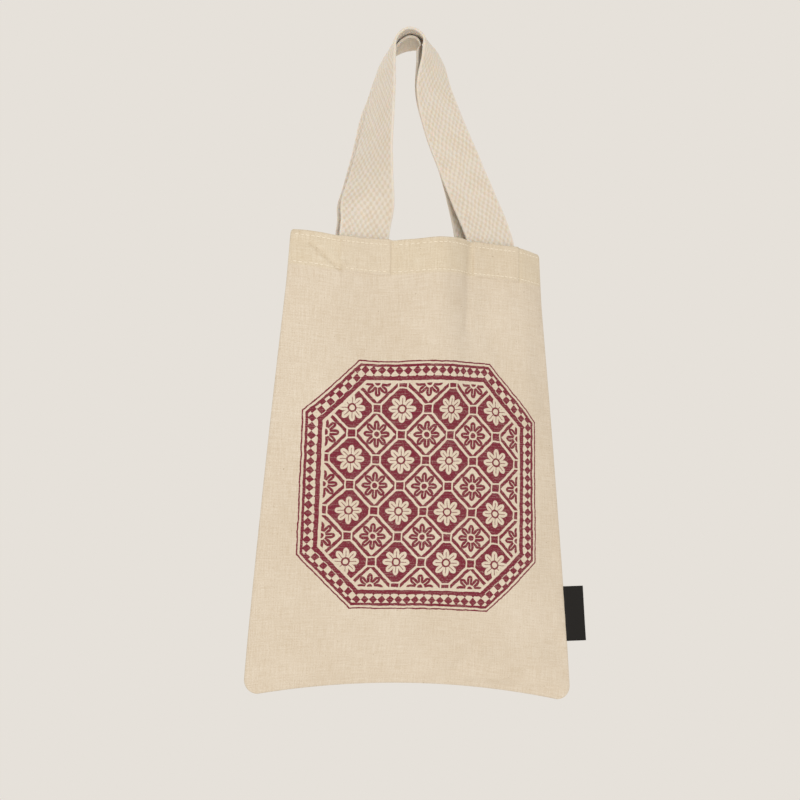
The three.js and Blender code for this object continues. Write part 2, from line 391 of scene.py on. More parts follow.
def add_node(
    tree: NodeTree, kind: str, inputs: dict[str | int, object] | None = None, **settings: object
) -> Node:
    """Adds a node with its settings and links.

    Args:
        tree: the tree that gets the node.
        kind: the node's type.
        inputs: a socket to link from, or a plain value, for each input by name or number.
        **settings: the node's own settings.

    Returns:
        The node.
    """
    node = tree.nodes.new(kind)
    for name, value in settings.items():
        setattr(node, name, value)
    for key, value in (inputs or {}).items():
        if isinstance(value, NodeSocket):
            tree.links.new(value, node.inputs[key])
        else:
            node.inputs[key].default_value = value
    return node


def run_steps(tree: NodeTree, known: Sockets, steps: list[Step]) -> Sockets:
    """Adds the nodes of a sum.

    Args:
        tree: the tree that gets the nodes.
        known: sockets by the names that the steps use.
        steps: the sum's steps.

    Returns:
        The known sockets with the new ones.
    """
    known = dict(known)
    for name, operation, *terms in steps:
        inputs = {i: known[term] if isinstance(term, str) else term for i, term in enumerate(terms)}
        known[name] = add_node(tree, "ShaderNodeMath", inputs, operation=operation).outputs[0]
    return known


def new_material(name: str) -> tuple[Material, NodeTree]:
    """Starts a material.

    Args:
        name: the real material's name.

    Returns:
        The material and its empty tree.
    """
    material = bpy.data.materials.new(name)
    material.use_nodes = True
    material.node_tree.nodes.clear()
    return material, material.node_tree


def own_map(tree: NodeTree, *noises: Noise) -> Sockets:
    """Reads the piece's own map and spreads noises over it.

    Args:
        tree: the material's tree.
        *noises: the noises.

    Returns:
        The sockets x, y and place, in millimetres of the flat piece, and each noise by its name.
    """
    uv = add_node(tree, "ShaderNodeUVMap", uv_map="flat").outputs[0]
    inputs = {"Vector": uv, "Scale": (UV_SPAN, UV_SPAN, 1.0)}
    place = add_node(tree, "ShaderNodeMapping", inputs, vector_type="POINT").outputs[0]
    parts = add_node(tree, "ShaderNodeSeparateXYZ", {0: place}).outputs
    known = {"x": parts[0], "y": parts[1], "place": place}
    for name, wide, tall, detail in noises:
        spread = add_node(tree, "ShaderNodeMapping", {"Vector": place, "Scale": (wide, tall, 1.0)}).outputs[0]
        inputs = {"Vector": spread, "Scale": 1.0, "Detail": detail}
        known[name] = add_node(tree, "ShaderNodeTexNoise", inputs).outputs[0]
    return known


def end_material(tree: NodeTree, look: dict[str, object], bump: dict[str, object] | None = None) -> None:
    """Ends a material with its surface.

    Args:
        tree: the material's tree.
        look: the surface's colour and constants by socket name.
        bump: the height that roughens it, with its strength and distance, if it has one.
    """
    if bump is not None:
        look = {**look, "Normal": add_node(tree, "ShaderNodeBump", bump).outputs[0]}
    surface = add_node(tree, "ShaderNodeBsdfPrincipled", look)
    add_node(tree, "ShaderNodeOutputMaterial", {"Surface": surface.outputs[0]})


@dataclass(frozen=True)
class BlockPrint:
    """A hand-cut block print: a trellis of diamonds with a rosette in each, inside a chequered border."""

    ink: str = "#721f32"
    centre_x: float = 0.7
    centre_drop: float = 140.5
    cell: float = 20.6
    field_half: float = 58.3
    corner_cut: float = 66.0
    # Rosettes: pairs of petals round an eye, with a vein cut between them.
    petal_pairs: float = 4.0
    petal_root: float = 3.5
    petal_length: float = 4.3
    petal_bluntness: float = 0.6
    ring_radius: float = 2.6
    eye_radius: float = 1.6
    vein_half: float = 0.75
    vein_end: float = 6.2
    # Cells: their bare edges and corners, the pale ones' outline, and the knots where they meet.
    edge_margin: float = 0.7
    corner_margin: float = 4.2
    outline_end: float = 2.5
    knot_reach: float = 3.0
    # Border: the chequers in a cell's length, their band, and each line's place and half its width.
    chequers: float = 6.0
    band: tuple[float, float] = (4.0, 9.4)
    lines: tuple[tuple[float, float], ...] = ((2.8, 1.2), (10.0, 0.75), (12.3, 0.4))
    # How far the cut lines stray, and in how many waves to a millimetre.
    wobble: float = 1.3
    wobble_waves: float = 0.22
    # How the ink's cover falls where the yarns stand up, and the most that it covers.
    wear: tuple[float, float] = (-0.75, 1.74)
    full_cover: float = 0.99

    def trellis(self) -> list[Step]:
        """Lists the steps of the cells, their rosettes and the chequers.

        Returns:
            The steps from x and y, measured from the print's middle, to trellis and cheque.
        """
        turned = 1.0 / (math.sqrt(2.0) * self.cell)
        steps: list[Step] = [("sum", "ADD", "x", "y"), ("difference", "SUBTRACT", "x", "y")]
        for way, along in (("a", "sum"), ("b", "difference")):
            steps += [
                (way, "MULTIPLY", along, turned),
                (f"row_{way}", "ROUND", way),
                (f"part_{way}", "SUBTRACT", way, f"row_{way}"),
                (f"cell_{way}", "MULTIPLY", f"part_{way}", self.cell),
                (f"square_{way}", "MULTIPLY", f"cell_{way}", f"cell_{way}"),
                (f"size_{way}", "ABSOLUTE", f"cell_{way}"),
                (f"edge_{way}", "SUBTRACT", self.cell / 2.0, f"size_{way}"),
                (f"fine_{way}", "MULTIPLY", way, self.chequers),
                (f"fine_row_{way}", "ROUND", f"fine_{way}"),
            ]
        return steps + [
            ("fine_cells", "ADD", "fine_row_a", "fine_row_b"),
            ("cheque", "PINGPONG", "fine_cells", 1.0),
            ("cells", "ADD", "row_a", "row_b"),
            ("odd", "PINGPONG", "cells", 1.0),
            ("even", "SUBTRACT", 1.0, "odd"),
            ("square", "ADD", "square_a", "square_b"),
            ("radius", "SQRT", "square"),
            ("angle", "ARCTAN2", "cell_b", "cell_a"),
            ("turns", "MULTIPLY", "angle", self.petal_pairs),
            ("wave", "COSINE", "turns"),
            ("wave_size", "ABSOLUTE", "wave"),
            ("petal_shape", "POWER", "wave_size", self.petal_bluntness),
            ("petal_reach", "MULTIPLY_ADD", "petal_shape", self.petal_length, self.petal_root),
            ("petal", "LESS_THAN", "radius", "petal_reach"),
            ("outside_ring", "GREATER_THAN", "radius", self.ring_radius),
            ("eye", "LESS_THAN", "radius", self.eye_radius),
            ("vein_wave", "SINE", "turns"),
            ("vein_size", "ABSOLUTE", "vein_wave"),
            ("vein_gap", "MULTIPLY", "vein_size", "radius"),
            ("off_vein", "GREATER_THAN", "vein_gap", self.vein_half),
            ("past_vein", "GREATER_THAN", "radius", self.vein_end),
            ("clear_of_vein", "MAXIMUM", "off_vein", "past_vein"),
            ("petal_ring", "MULTIPLY", "petal", "outside_ring"),
            ("petal_cut", "MULTIPLY", "petal_ring", "clear_of_vein"),
            ("rosette", "MAXIMUM", "petal_cut", "eye"),
            ("edge", "MINIMUM", "edge_a", "edge_b"),
            ("corner_gap", "ADD", "edge_a", "edge_b"),
            ("off_corner", "GREATER_THAN", "corner_gap", self.corner_margin),
            ("knot", "LESS_THAN", "corner_gap", self.knot_reach),
            ("off_edge", "GREATER_THAN", "edge", self.edge_margin),
            ("ground", "MULTIPLY", "off_edge", "off_corner"),
            ("line_end", "LESS_THAN", "edge", self.outline_end),
            ("outline", "MULTIPLY", "ground", "line_end"),
            ("no_rosette", "SUBTRACT", 1.0, "rosette"),
            ("dark_cell", "MULTIPLY", "ground", "no_rosette"),
            ("pale_cell", "MAXIMUM", "outline", "rosette"),
            ("pale", "MULTIPLY", "pale_cell", "even"),
            ("cells_ink", "MULTIPLY_ADD", "dark_cell", "odd", "pale"),
            ("trellis", "MAXIMUM", "cells_ink", "knot"),
        ]

    def border(self) -> list[Step]:
        """Lists the steps that end the field and frame it.

        Returns:
            The steps from x, y, trellis and cheque to ink.
        """
        steps: list[Step] = [
            ("x_size", "ABSOLUTE", "x"),
            ("y_size", "ABSOLUTE", "y"),
            ("square_reach", "MAXIMUM", "x_size", "y_size"),
            ("square_gap", "SUBTRACT", "square_reach", self.field_half),
            ("reach_sum", "ADD", "x_size", "y_size"),
            ("corner_reach", "MULTIPLY_ADD", "reach_sum", math.sqrt(0.5), -self.corner_cut),
            ("gap", "MAXIMUM", "square_gap", "corner_reach"),
            ("in_field", "LESS_THAN", "gap", 0.0),
            ("field", "MULTIPLY", "trellis", "in_field"),
            ("band_start", "GREATER_THAN", "gap", self.band[0]),
            ("band_end", "LESS_THAN", "gap", self.band[1]),
            ("band", "MULTIPLY", "band_start", "band_end"),
            ("cheque_band", "MULTIPLY", "cheque", "band"),
            ("ink", "MAXIMUM", "field", "cheque_band"),
        ]
        for place, width in self.lines:
            steps += [("line", "COMPARE", "gap", place, width), ("ink", "MAXIMUM", "ink", "line")]
        return steps

    def cover(self, tree: NodeTree, known: Sockets) -> NodeSocket:
        """Adds the print's nodes.

        Args:
            tree: the material's tree.
            known: the cloth's own map, with its grain and its weft.

        Returns:
            The socket with how much of the cloth the ink covers.
        """
        noise = {"Vector": known["place"], "Scale": self.wobble_waves, "Detail": 3.0, "Roughness": 0.6}
        shake = add_node(tree, "ShaderNodeTexNoise", noise).outputs["Color"]
        red, green, _ = add_node(tree, "ShaderNodeSeparateColor", {0: shake}).outputs
        stray = self.wobble / 2.0
        moved: list[Step] = [
            ("x_even", "SUBTRACT", "u", UV_SPAN / 2.0 + self.centre_x + stray),
            ("y_even", "SUBTRACT", "v", UV_SPAN - self.centre_drop - HEM_ROOM + stray),
            ("x", "MULTIPLY_ADD", "red", self.wobble, "x_even"),
            ("y", "MULTIPLY_ADD", "green", self.wobble, "y_even"),
        ]
        worn: list[Step] = [
            ("uneven", "ADD", "grain", "weft"),
            ("take", "MULTIPLY_ADD", "uneven", *self.wear),
            ("held", "MINIMUM", "take", self.full_cover),
            ("cover", "MULTIPLY", "ink", "held"),
        ]
        start = {"u": known["x"], "v": known["y"], "red": red, "green": green}
        start |= {"grain": known["grain"], "weft": known["weft"]}
        return run_steps(tree, start, moved + self.trellis() + self.border() + worn)["cover"]


@dataclass(frozen=True)
class CottonCloth:
    """Undyed plain-weave cotton: uneven yarns show as faint streaks both ways, with a few seed flecks."""

    yarn: str = "#d2c4b2"
    thick_yarn: str = "#e1d8c9"
    thin_yarn: str = "#c1b198"
    fleck: str = "#8d7450"
    # How the tone of the thin cloth shifts where a second layer lies behind it: painted light, standing in
    # for light that passes through the cloth and back off the layer behind.
    layered_light_tint: Colour = (1.0, 0.995, 0.94, 1.0)
    # How it darkens along a pressed-in crease: painted shade that stands in for the shadow in the fold.
    crease_painted_shade: Colour = (0.9, 0.88, 0.85, 1.0)
    # The real threads are about 0.55 mm apart, too fine to show, so the weave is drawn about twice as coarse.
    thread_pitch: float = 1.15
    streak_width: float = 0.65
    streak_length: float = 11.0
    # Waves to a millimetre of the cloth's broad blotches, its flecks and its grain.
    blotch_waves: float = 0.018
    fleck_waves: float = 0.62
    grain_waves: float = 1.3
    # What the tone is made of, its range from thin to thick yarn, and how far it is drawn to the middle.
    streak_share: float = 0.8
    blotch_share: float = 0.55
    tone_range: tuple[float, float] = (1.19, 1.96)
    evenness: float = 0.4
    fleck_from: float = 0.765
    fleck_strength: float = 0.45
    weave_share: float = 0.25

    def material(self, name: str, block_print: BlockPrint | None = None) -> Material:
        """Makes the cloth's material.

        Args:
            name: the material's name.
            block_print: the print on this face, if it has one.

        Returns:
            The material.
        """
        material, tree = new_material(name)
        thin, long = 1.0 / self.streak_width, 1.0 / self.streak_length
        known = own_map(
            tree,
            ("warp", thin, long, 2.0),
            ("weft", long, thin, 2.0),
            ("blotch", self.blotch_waves, self.blotch_waves, 2.0),
            ("speck", self.fleck_waves, self.fleck_waves, 1.0),
            ("grain", self.grain_waves, self.grain_waves, 2.0),
        )
        turn = FULL_TURN / self.thread_pitch
        known = run_steps(
            tree,
            known,
            [
                ("slub", "ADD", "warp", "weft"),
                ("blotch_tone", "MULTIPLY_ADD", "blotch", self.blotch_share, "grain"),
                ("tone", "MULTIPLY_ADD", "slub", self.streak_share, "blotch_tone"),
                ("is_speck", "GREATER_THAN", "speck", self.fleck_from),
                ("speck_share", "MULTIPLY", "is_speck", self.fleck_strength),
                ("x_turn", "MULTIPLY", "x", turn),
                ("y_turn", "MULTIPLY", "y", turn),
                ("x_wave", "SINE", "x_turn"),
                ("y_wave", "SINE", "y_turn"),
                ("weave", "MULTIPLY", "x_wave", "y_wave"),
                ("yarns", "ADD", "slub", "grain"),
                ("height", "MULTIPLY_ADD", "weave", self.weave_share, "yarns"),
            ],
        )
        low, high = self.tone_range
        inputs = {"Value": known["tone"], "From Min": low, "From Max": high}
        layers = [
            (add_node(tree, "ShaderNodeMapRange", inputs).outputs[0], linear(self.thick_yarn), "MIX"),
            (self.evenness, linear(self.yarn), "MIX"),
            (known["speck_share"], linear(self.fleck), "MIX"),
        ]
        # Painted light and shade: a tint where layers lie behind the cloth, for light passing through it, and
        # a darkening along pressed creases, for their shadow.
        for key, tint in (("layered_light", self.layered_light_tint), ("crease_shade", self.crease_painted_shade)):
            share = add_node(tree, "ShaderNodeAttribute", attribute_name=key).outputs["Fac"]
            layers.append((share, tint, "MULTIPLY"))
        if block_print is not None:
            layers.append((block_print.cover(tree, known), linear(block_print.ink), "MIX"))
        colour = linear(self.thin_yarn)
        for share, tint, blend in layers:
            inputs = {0: share, 6: colour, 7: tint}
            colour = add_node(tree, "ShaderNodeMix", inputs, data_type="RGBA", blend_type=blend).outputs[2]
        end_material(
            tree,
            {
                "Base Color": colour,
                "Roughness": 0.92,
                "IOR": 1.46,
                "Specular IOR Level": 0.22,
                "Sheen Weight": 0.12,
                "Sheen Roughness": 0.5,
            },
            {"Height": known["height"], "Strength": 0.28, "Distance": 0.35 * MM},
        )
        return material


@dataclass(frozen=True)
class CottonWebbing:
    """Heavy basket-woven cotton webbing: plump floats painted pale and the hollows between them painted warm
    and dark, as painted highlight and shade.
    """

    float_highlight_tone: str = "#dad3c9"
    hollow_shade_tone: str = "#d1c5b2"
    column_pitch: float = 1.65
    float_length: float = 2.35
    yarn_pitch: float = 0.6
    yarn_share: float = 0.12
    # The weave's wave is cut off at these levels, so that the floats are longer than the hollows.
    hollow_level: float = -0.75
    float_level: float = 0.7
    # How far the floats' rows and columns wander, and the lengths across and along in which they do.
    wander: tuple[tuple[float, float, float], ...] = ((0.45, 13.0, 31.0), (0.225, -17.0, 19.0))
    noises: tuple[Noise, ...] = (("fuzz", 1.1, 1.1, 3.0), ("tint", 0.09, 0.09, 2.0))
    tone_range: tuple[float, float] = (0.95, 1.95)

    def raise_of(self, u: Array, v: Array, face: Array) -> Array:
        """Gives the weave's height.

        Args:
            u: places across the webbing.
            v: places along it.
            face: 1 on one face and -1 on the other, which has its floats where the first has its hollows.

        Returns:
            The height from 0, deepest, to 1, on top of a float.
        """
        slip, lean = (far * np.sin(FULL_TURN * (u / wide + v / long)) for far, wide, long in self.wander)
        column = np.cos(math.pi * (u + lean) / self.column_pitch)
        wave = face * column * np.cos(math.pi * (v + slip) / self.float_length)
        return smooth((wave - self.hollow_level) / (self.float_level - self.hollow_level))

    def material(self) -> Material:
        """Makes the webbing's material.

        Returns:
            The material.
        """
        material, tree = new_material("cotton_webbing")
        known = own_map(tree, *self.noises)
        known["weave"] = add_node(tree, "ShaderNodeAttribute", attribute_name="weave").outputs["Fac"]
        known = run_steps(
            tree,
            known,
            [
                ("twist", "ADD", "x", "y"),
                ("twist_turn", "MULTIPLY", "twist", FULL_TURN / self.yarn_pitch),
                ("yarn", "SINE", "twist_turn"),
                ("fluff", "MULTIPLY_ADD", "yarn", self.yarn_share, "fuzz"),
                ("tone_fuzz", "ADD", "weave", "fuzz"),
                ("tone", "ADD", "tone_fuzz", "tint"),
            ],
        )
        # Painted shade and highlight: the weave's height darkens the hollows and lightens the floats, with
        # random fuzz and tint on top.
        low, high = self.tone_range
        inputs = {"Value": known["tone"], "From Min": low, "From Max": high}
        share = add_node(tree, "ShaderNodeMapRange", inputs).outputs[0]
        inputs = {0: share, 6: linear(self.hollow_shade_tone), 7: linear(self.float_highlight_tone)}
        end_material(
            tree,
            {
                "Base Color": add_node(tree, "ShaderNodeMix", inputs, data_type="RGBA").outputs[2],
                "Roughness": 0.94,
                "IOR": 1.46,
                "Specular IOR Level": 0.2,
                "Sheen Weight": 0.15,
                "Sheen Roughness": 0.5,
                "Subsurface Weight": 0.5,
                "Subsurface Radius": (1.0, 0.7, 0.45),
                "Subsurface Scale": 1.5 * MM,
            },
            {"Height": known["fluff"], "Strength": 0.3, "Distance": 0.3 * MM},
        )
        return material


@dataclass(frozen=True)
class BlackRibbon:
    """Black woven polyester ribbon: fine ribs across it give a soft, broken shine, and their tops are painted
    a little lighter as a painted highlight.
    """

    thread: str = "#0c0b0a"
    rib_highlight: str = "#181614"
    # Real ribs are about 0.25 mm apart, so they are drawn coarser to show.
    rib_pitch: float = 0.7
    rib_share: float = 0.25
    rib_level: float = 0.5
    fuzz_waves: float = 1.6

    def material(self) -> Material:
        """Makes the ribbon's material.

        Returns:
            The material.
        """
        material, tree = new_material("black_ribbon")
        known = own_map(tree, ("fuzz", self.fuzz_waves, self.fuzz_waves, 2.0))
        known = run_steps(
            tree,
            known,
            [
                ("turn", "MULTIPLY", "y", FULL_TURN / self.rib_pitch),
                ("wave", "SINE", "turn"),
                ("ribs", "MULTIPLY_ADD", "wave", self.rib_share, self.rib_level),
                ("height", "ADD", "ribs", "fuzz"),
            ],
        )
        # Painted highlight: the ribs' tops, and random fuzz, mix in the lighter colour.
        inputs = {0: known["height"], 6: linear(self.thread), 7: linear(self.rib_highlight)}
        colour = add_node(tree, "ShaderNodeMix", inputs, data_type="RGBA").outputs[2]
        end_material(
            tree,
            {"Base Color": colour, "Roughness": 0.66, "IOR": 1.5, "Specular IOR Level": 0.22},
            {"Height": known["height"], "Strength": 0.3, "Distance": 0.2 * MM},
        )
        return material


@dataclass(frozen=True)
class SewingThread:
    """Cream spun cotton thread: a shade lighter than the cloth, so each stitch catches the light."""

    light: str = "#f1e9da"
    shade: str = "#e2d6c0"
    fuzz_waves: float = 1.4

    def material(self) -> Material:
        """Makes the thread's material.

        Returns:
            The material.
        """
        material, tree = new_material("sewing_thread")
        place = add_node(tree, "ShaderNodeTexCoord").outputs["Object"]
        inputs = {"Vector": place, "Scale": self.fuzz_waves / MM, "Detail": 1.0}
        fuzz = add_node(tree, "ShaderNodeTexNoise", inputs).outputs[0]
        inputs = {0: fuzz, 6: linear(self.shade), 7: linear(self.light)}
        colour = add_node(tree, "ShaderNodeMix", inputs, data_type="RGBA").outputs[2]
        look = {"Base Color": colour, "Roughness": 0.75, "Specular IOR Level": 0.3, "Sheen Weight": 0.1}
        end_material(tree, look)
        return material


def to_piece(mesh: BMesh, name: str, finishes: list[Material]) -> Object:
    """Makes an object of a finished mesh.

    Args:
        mesh: the mesh, which is freed.
        name: the object's name.
        finishes: its materials.

    Returns:
        The object, in the scene.
    """
    data = bpy.data.meshes.new(name)
    mesh.to_mesh(data)
    mesh.free()
    data.shade_smooth()
    for finish in finishes:
        data.materials.append(finish)
    piece = bpy.data.objects.new(name, data)
    bpy.context.scene.collection.objects.link(piece)
    return piece


class FlatSheet:
    """A sheet modelled flat: a grid with a wall, whose points are then moved to where the sheet hangs."""

    def __init__(self, across_at: Array, along_at: Array, wall: float) -> None:
        """Makes the flat sheet.

        Args:
            across_at: the places of its grid lines across, in rising order.
            along_at: the places of its grid lines along, in rising order.
            wall: the sheet's thickness.
        """
        self.mesh = bmesh.new()
        columns, rows = len(across_at) - 1, len(along_at) - 1
        bmesh.ops.create_grid(self.mesh, x_segments=columns, y_segments=rows, size=0.5)
        bmesh.ops.solidify(self.mesh, geom=list(self.mesh.faces), thickness=1.0)
        corners = np.array([v.co for v in self.mesh.verts])
        levels = corners[:, 2] - corners[:, 2].min()
        self.u = np.interp((corners[:, 0] + 0.5) * columns, np.arange(columns + 1), across_at)
        self.v = np.interp((corners[:, 1] + 0.5) * rows, np.arange(rows + 1), along_at)
        self.w = (levels / levels.max() - 0.5) * wall
        for vert, u, v, w in zip(self.mesh.verts, self.u, self.v, self.w):
            vert.co = (u, v, w)

    def round_long_edges(self, radius: float, half_width: float) -> None:
        """Bevels the edges that run along both sides.

        Args:
            radius: how far the bevel reaches in.
            half_width: where the sides are.
        """
        long_edges = []
        for edge in self.mesh.edges:
            a, b = (vert.co for vert in edge.verts)
            at_side = min(abs(a.x), abs(b.x)) > half_width - AT_SIDE
            if at_side and abs(a.z - b.z) < SAME < abs(a.y - b.y):
                long_edges.append(edge)
        bmesh.ops.bevel(
            self.mesh,
            geom=long_edges,
            offset=radius,
            offset_type="OFFSET",
            affect="EDGES",
            segments=3,
            profile=0.5,
            material=-1,
        )
        self.u, self.v, self.w = np.array([v.co for v in self.mesh.verts]).T

    def to_object(
        self,
        name: str,
        points: Array,
        uv: Array,
        finishes: list[Material],
        attributes: dict[str, Array] | None = None,
    ) -> Object:
        """Moves the sheet's points and makes it an object.

        Args:
            name: the object's name.
            points: where each point goes, in millimetres.
            uv: each point's place on the sheet's own map.
            finishes: the outside's material and then the inside's, if it has its own.
            attributes: values kept on the points by name.

        Returns:
            The object.
        """
        if len(finishes) > 1:
            for face in self.mesh.faces:
                low = face.calc_center_median().z < 0.0
                face.material_index = (Face.INSIDE if low else Face.OUTSIDE).value
        for vert, point in zip(self.mesh.verts, points):
            vert.co = point * MM
        if self.mesh.calc_volume(signed=True) < 0.0:
            bmesh.ops.reverse_faces(self.mesh, faces=list(self.mesh.faces))
        piece = to_piece(self.mesh, name, finishes)
        corner = np.empty(len(piece.data.loops), np.int32)
        piece.data.loops.foreach_get("vertex_index", corner)
        layer = piece.data.uv_layers.new(name="flat")
        layer.data.foreach_set("uv", uv[corner].astype(np.float32).ravel())
        for key, values in (attributes or {}).items():
            kept = piece.data.attributes.new(key, "FLOAT", "POINT")
            kept.data.foreach_set("value", values.astype(np.float32))
        return piece


@dataclass
class ClothPanel:
    """One side of the bag: a cloth with its mouth edge turned over to the inside and sewn down as a hem."""

    name: str
    side: Side
    shape: BagShape
    folds: tuple[Fold, ...]
    outside: Material
    inside: Material
    thread: Material
    seed: int
    cut_width: float = 190.0
    cloth: float = 0.7
    fold_radius: float = 0.5
    hem_depth: float = 20.0
    # Each sewn row's place below the mouth, the hem's first, and how deep it pulls the cloth in.
    sewn_rows: tuple[tuple[float, float], ...] = ((18.4, 0.3), (3.0, 0.22))
    pull_width: float = 0.9
    stitch_pitch: float = 2.8
    stitch_length: float = 2.5
    stitch_width: float = 0.62
    stitch_height: float = 0.5
    stitch_margin: float = 1.6
    stitch_proud: float = 0.02
    stitch_below: float = 0.8
    columns: int = 156
    # Grid rows of the turned hem, its fold, the band over it, the body and the foot's corners.
    rows: tuple[int, ...] = (16, 8, 32, 194, 14)
    band_past_hem: float = 2.0
    # Closer lines where the cloth rolls in to the seams, and beside the strap ends' edges.
    roll_reach: float = 2.4
    middling_half: float = 86.0
    roll_lines: tuple[float, ...] = (0.0, 0.04, 0.13, 0.3, 0.55)
    edge_lines: tuple[float, ...] = (-0.9, -0.5, -0.15, 0.15, 0.5, 0.9)
    edge_clear: float = 1.3
    # Over this length the rows go back to their own places, so that the last one ends at the foot.
    settle_length: float = 40.0
    # Where the strap ends lie behind the hem, from the panel's middle.
    strap_ends: tuple[tuple[float, float], ...] = ((-51.9, -21.9), (29.6, 59.6))
    # How far each lifts the cloth, how far past the hem's edge, and over what slope.
    hem_relief: float = 0.4
    hem_past: float = 1.5
    hem_slope: float = 2.5
    strap_relief: float = 0.9
    strap_past: float = 1.0
    strap_slope: float = 1.1
    # How the cloth's tone follows the layers behind it, as painted light for light through the thin cloth.
    # Folds narrower than crease_width are pressed creases, painted with shade.
    hem_tone: float = 0.8
    strap_tone: float = 0.35
    tone_slope: float = 0.8
    crease_width: float = 1.8
    # Gathers along the hem's stitches and the seams, and where they and the folds fade.
    hem_gathers: tuple[float, ...] = (0.16, 6.7, 1.3, 17.0)
    hem_fade: float = 3.5
    seam_gathers: tuple[float, ...] = (0.3, 9.5, 1.1, 23.0)
    seam_start: float = 2.5
    seam_fade: float = 5.0
    fold_fade: float = 7.0
    seam_clear: float = 0.03
    # Each set of ripples: its shortest and longest wave, its height and how many waves it has.
    ripple_sets: tuple[tuple[float, ...], ...] = ((38.0, 90.0, 0.16, 9), (14.0, 30.0, 0.035, 14))
    ripple_turn: float = 6.3

    def relief(self, station: Array, drop: Array) -> Array:
        """Gives how far the cloth's folds, its hem and what lies behind it lift its outside.

        Args:
            station: places across the panel.
            drop: places down the panel.

        Returns:
            The lift at each place.
        """
        x = station * self.shape.half_width(drop)
        gap = self.shape.edge_gap(station, drop)
        lift = self.ripples(x, drop) + sum(fold.lift(x, drop) for fold in self.folds)
        hem = self.hem_relief * smooth((self.hem_depth + self.hem_past - drop) / self.hem_slope)
        hem = hem + self.strap_relief * self.over_straps(x, drop, self.strap_slope)
        for sewn, depth in self.sewn_rows:
            hem = hem - depth * np.exp(-(((drop - sewn) / self.pull_width) ** 2))
        hem_gap = np.abs(drop - self.sewn_rows[0][0])
        hem = hem + gathers(x, self.hem_gathers) * np.exp(-hem_gap / self.hem_fade)
        pucker = gathers(drop, self.seam_gathers, self.seed) * smooth(gap / self.seam_start)
        return (lift + hem) * smooth(gap / self.fold_fade) + pucker * np.exp(-gap / self.seam_fade)

    def over_straps(self, x: Array, drop: Array, slope: float) -> Array:
        """Tells where the strap ends lie behind the cloth.

        Args:
            x: places across the panel.
            drop: places down the panel.
            slope: how wide the change is at a strap end's edges.

        Returns:
            1 over a strap end and 0 beside it.
        """
        over = np.zeros_like(x)
        for low, high in self.strap_ends:
            over = over + smooth((x - low) / slope + 0.5) * smooth((high - x) / slope + 0.5)
        return over * smooth((self.hem_depth + self.strap_past - drop) / slope)

    def ripples(self, x: Array, drop: Array) -> Array:
        """Gives the cloth's slight unevenness as a sum of waves.

        Args:
            x: places across the panel.
            drop: places down the panel.

        Returns:
            The height at each place.
        """
        draw = np.random.default_rng(self.seed)
        height = np.zeros_like(x)
        for low, high, size, count in self.ripple_sets:
            for _ in range(count):
                length, way = draw.uniform(low, high), draw.uniform(0.0, math.pi)
                start = draw.uniform(0.0, self.ripple_turn)
                along = x * math.cos(way) + drop * math.sin(way)
                height += size * np.sin(FULL_TURN * along / length + start)
        return height

    def surface(self, station: Array, drop: Array, depth: Array) -> Array:
        """Gives points of the hanging cloth.

        Args:
            station: places across the panel.
            drop: places down the panel.
            depth: how far each point is behind the outside.

        Returns:
            The points.
        """
        points = self.shape.straight(self.side, station, drop)
        out = self.shape.outward(self.side, station, drop)
        points = points + out * (self.relief(station, drop) - depth)[:, None]
        points[:, 1] = self.side.value * np.maximum(points[:, 1], self.seam_clear)
        return self.shape.hung(points, drop)

    def stations(self) -> Array:
        """Gives the grid lines across, closer together at the seams and at the strap ends' edges.

        Returns:
            Their places, from -1 to 1.
        """
        reach = self.roll_reach / self.middling_half
        roll = 1.0 - reach * np.array(self.roll_lines)
        middle = np.linspace(-1.0 + reach, 1.0 - reach, self.columns + 1 - 2 * len(roll))
        half = self.shape.half_width(self.hem_depth / 2.0)
        edges = np.array(self.strap_ends).ravel() / half
        close = np.array(self.edge_lines) / half
        middle = middle[np.abs(middle[:, None] - edges[None, :]).min(axis=1) > self.edge_clear / half]
        return np.sort(np.concatenate([-roll, middle, (edges[:, None] + close[None, :]).ravel(), roll]))

    def lengths(self) -> Array:
        """Gives the grid lines along the cloth, from the hem's turned edge over the mouth to the foot.

        Returns:
            Their places, below 0 on the turned hem.
        """
        turn = math.pi * self.fold_radius / 2.0
        band_end = self.hem_depth + self.band_past_hem
        body_end = self.shape.height - self.shape.corner_radius
        ends = (-self.hem_depth, -turn, turn, band_end, body_end)
        spans = zip(ends, ends[1:], self.rows)
        lines = [np.linspace(start, end, count, endpoint=False) for start, end, count in spans]
        quarter = np.linspace(0.0, math.pi / 2.0, self.rows[-1])
        return np.concatenate([*lines, body_end + self.shape.corner_radius * np.sin(quarter)])

    def build(self) -> Object:
        """Models the panel.

        Returns:
            The panel's object.
        """
        sheet = FlatSheet(self.stations(), self.lengths(), self.cloth)
        radius = self.fold_radius
        quarter = math.pi * radius / 2.0
        angle = np.clip((quarter - sheet.v) / radius, 0.0, math.pi)
        past = np.maximum(np.abs(sheet.v) - quarter, 0.0)
        centre = self.cloth / 2.0 + radius
        depth = centre - (radius + sheet.w) * np.cos(angle)
        drop = np.maximum(centre - (radius + sheet.w) * np.sin(angle), 0.0) + past
        drop = np.minimum(drop, self.shape.height)
        settle = smooth(sheet.v / self.settle_length)
        drop = np.where(sheet.v > 0.0, drop + (sheet.v - drop) * settle, drop)
        points = self.surface(sheet.u, drop, depth)
        x = sheet.u * self.shape.half_width(np.maximum(drop, 0.0))
        uv = np.stack([x / UV_SPAN + 0.5, 1.0 - (sheet.v + HEM_ROOM) / UV_SPAN], axis=1)
        # Painted light: the hem and the strap ends behind the cloth shift its tone, standing in for light
        # that passes through the thin cloth.
        layered_light = self.hem_tone * smooth((self.hem_depth - drop) / self.tone_slope + 0.5)
        layered_light = layered_light - self.strap_tone * self.over_straps(x, drop, self.tone_slope)
